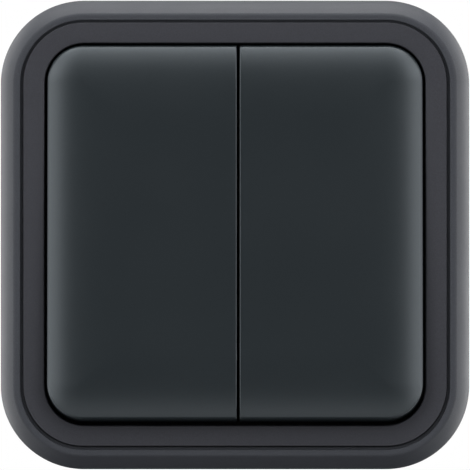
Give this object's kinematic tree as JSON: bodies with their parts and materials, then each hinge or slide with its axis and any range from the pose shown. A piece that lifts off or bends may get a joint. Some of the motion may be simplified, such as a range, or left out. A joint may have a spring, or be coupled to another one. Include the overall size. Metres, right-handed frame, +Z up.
{
  "type": "rocker wall switch",
  "caption": "Square wall switch with side-by-side tilting rockers in a round-cornered surround, and a wall-box mechanism with rocking contacts and screw terminals.",
  "frame": {"origin": "centre of the plate on the wall plane, which is the back of the wall seal", "axes": "+X to the right seen from the room, +Z up, +Y into the wall, so the front faces -Y"},
  "size_m": [0.086, 0.0437, 0.086],
  "materials": {
    "surround_plastic": "satin, dark purple-grey, faint spark texture",
    "ring_plastic": "satin, dark purple-grey, faint spark texture",
    "rocker_plastic": "satin anthracite with a fine matt grain",
    "seal_rubber": "matt black rubber",
    "body_plastic": "matt mid-grey moulding",
    "cover_plastic": "matt dark grey moulding",
    "cradle_plastic": "semi-gloss natural white moulding",
    "plunger_plastic": "semi-gloss red-brown moulding",
    "yoke_steel": "black-passivated pressed sheet",
    "screw_steel": "dull zinc plating, turned",
    "spring_steel": "bright drawn wire",
    "strip_copper": "rolled copper, slightly dulled",
    "contact_silver": "silver alloy rivet, satin",
    "terminal_brass": "machined brass, dulled"
  },
  "bodies": {
    "base": {"wall_seal": "seal_rubber", "outer_frame": "surround_plastic", "front_ring": "ring_plastic", "support_frame": "yoke_steel", "mechanism_base": "body_plastic", "mechanism_cover": "cover_plastic", "mechanism_seal": "seal_rubber", "cover_screw_1": "screw_steel", "cover_screw_2": "screw_steel", "cover_screw_3": "screw_steel", "cover_screw_4": "screw_steel", "fixing_screw_left": "screw_steel", "common_strip_left": "strip_copper", "traveller_strip_left_lower": "strip_copper", "fixed_contact_left_lower": "contact_silver", "traveller_strip_left_upper": "strip_copper", "fixed_contact_left_upper": "contact_silver", "terminal_block_left_lower": "terminal_brass", "terminal_screw_left_lower": "screw_steel", "terminal_block_left_common": "terminal_brass", "terminal_screw_left_common": "screw_steel", "terminal_block_left_upper": "terminal_brass", "terminal_screw_left_upper": "screw_steel", "fixing_screw_right": "screw_steel", "common_strip_right": "strip_copper", "traveller_strip_right_lower": "strip_copper", "fixed_contact_right_lower": "contact_silver", "traveller_strip_right_upper": "strip_copper", "fixed_contact_right_upper": "contact_silver", "terminal_block_right_lower": "terminal_brass", "terminal_screw_right_lower": "screw_steel", "terminal_block_right_common": "terminal_brass", "terminal_screw_right_common": "screw_steel", "terminal_block_right_upper": "terminal_brass", "terminal_screw_right_upper": "screw_steel"},
    "rocker_left": {"rocker_left": "rocker_plastic", "cradle_left": "cradle_plastic", "plunger_spring_left": "spring_steel"},
    "plunger_left": {"plunger_left": "plunger_plastic"},
    "lever_left": {"contact_lever_left": "strip_copper", "moving_contact_left_lower": "contact_silver", "moving_contact_left_upper": "contact_silver"},
    "rocker_right": {"rocker_right": "rocker_plastic", "cradle_right": "cradle_plastic", "plunger_spring_right": "spring_steel"},
    "plunger_right": {"plunger_right": "plunger_plastic"},
    "lever_right": {"contact_lever_right": "strip_copper", "moving_contact_right_lower": "contact_silver", "moving_contact_right_upper": "contact_silver"}
  },
  "joints": [
    {"name": "rocker_left_tilt", "type": "hinge", "parent": "base", "child": "rocker_left", "pos_m": [-0.0106, -0.004, 0], "axis": [1, 0, 0], "range_deg": [0, 6]},
    {"name": "plunger_left_press", "type": "slide", "parent": "rocker_left", "child": "plunger_left", "axis": [0, -0.9986, 0.0523], "range_m": [0, 0.0008], "stiffness_N_per_m": 800, "springref_m": -0.003, "deforming": ["plunger_spring_left"]},
    {"name": "contact_left_rock", "type": "hinge", "parent": "base", "child": "lever_left", "pos_m": [-0.0106, 0.0117, 0], "axis": [1, 0, 0], "range_deg": [-16, 0]},
    {"name": "rocker_right_tilt", "type": "hinge", "parent": "base", "child": "rocker_right", "pos_m": [0.0106, -0.004, 0], "axis": [1, 0, 0], "range_deg": [0, 6]},
    {"name": "plunger_right_press", "type": "slide", "parent": "rocker_right", "child": "plunger_right", "axis": [0, -0.9986, 0.0523], "range_m": [0, 0.0008], "stiffness_N_per_m": 800, "springref_m": -0.003, "deforming": ["plunger_spring_right"]},
    {"name": "contact_right_rock", "type": "hinge", "parent": "base", "child": "lever_right", "pos_m": [0.0106, 0.0117, 0], "axis": [1, 0, 0], "range_deg": [-16, 0]}
  ],
  "couplings": [
    {"joint": "contact_left_rock", "follows": "rocker_left_tilt", "ratio": -2.6667},
    {"joint": "contact_right_rock", "follows": "rocker_right_tilt", "ratio": -2.6667}
  ]
}
